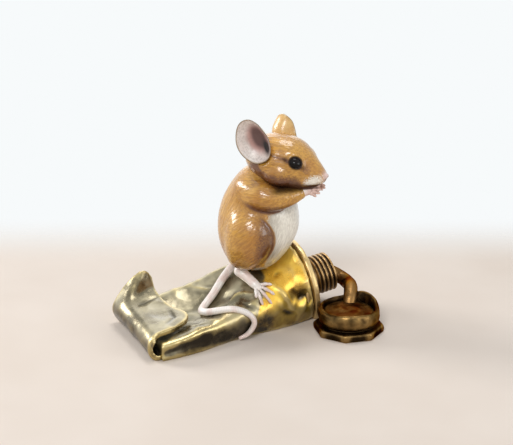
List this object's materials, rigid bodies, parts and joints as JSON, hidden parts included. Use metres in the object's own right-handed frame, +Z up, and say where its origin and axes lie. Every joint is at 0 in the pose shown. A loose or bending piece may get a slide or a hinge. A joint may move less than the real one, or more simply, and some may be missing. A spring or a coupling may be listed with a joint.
{
  "type": "mouse figurine",
  "caption": "Cold-painted bronze mouse washing its paws on a squeezed paint tube, with paint running from the threaded neck into an upturned cap; the flat underside stands on a shelf.",
  "frame": {"origin": "on the table, in the flat underside of the tube, below the mouse", "axes": "+X along the tube from its folded end to its neck, +Z up"},
  "size_m": [0.0936, 0.0569, 0.0828],
  "materials": {
    "golden_fur": "glossy cold paint over fine fur strokes, red brown in the hollows, pale on the belly",
    "pale_skin": "satin pinkish white paint",
    "ear_paint": "satin paint, pale rim and mauve bowl",
    "black_eye": "high gloss black lacquer",
    "tube_bronze": "olive brown patina, polished edges, gold label zone at the shoulder",
    "cap_bronze": "dark brown patina with worn edges",
    "paint_bronze": "glossy copper brown",
    "pin_brass": "drawn wire"
  },
  "bodies": {
    "root": {"torso": "golden_fur", "head": "golden_fur", "haunch_right": "golden_fur", "haunch_left": "golden_fur", "foreleg_right": "golden_fur", "foreleg_left": "golden_fur", "forepaw_right": "pale_skin", "forepaw_left": "pale_skin", "hind_foot_right": "pale_skin", "hind_foot_left": "pale_skin", "tail": "pale_skin", "ear_right": "ear_paint", "ear_left": "ear_paint", "eye_right": "black_eye", "eye_left": "black_eye", "tube_body": "tube_bronze", "folded_end": "tube_bronze", "shoulder": "tube_bronze", "cap": "cap_bronze", "threaded_neck": "cap_bronze", "paint_bead": "paint_bronze", "paint_pool": "paint_bronze", "seat_dowels": "pin_brass", "head_dowel": "pin_brass", "foreleg_pins": "pin_brass", "haunch_pins": "pin_brass"}
  },
  "joints": []
}
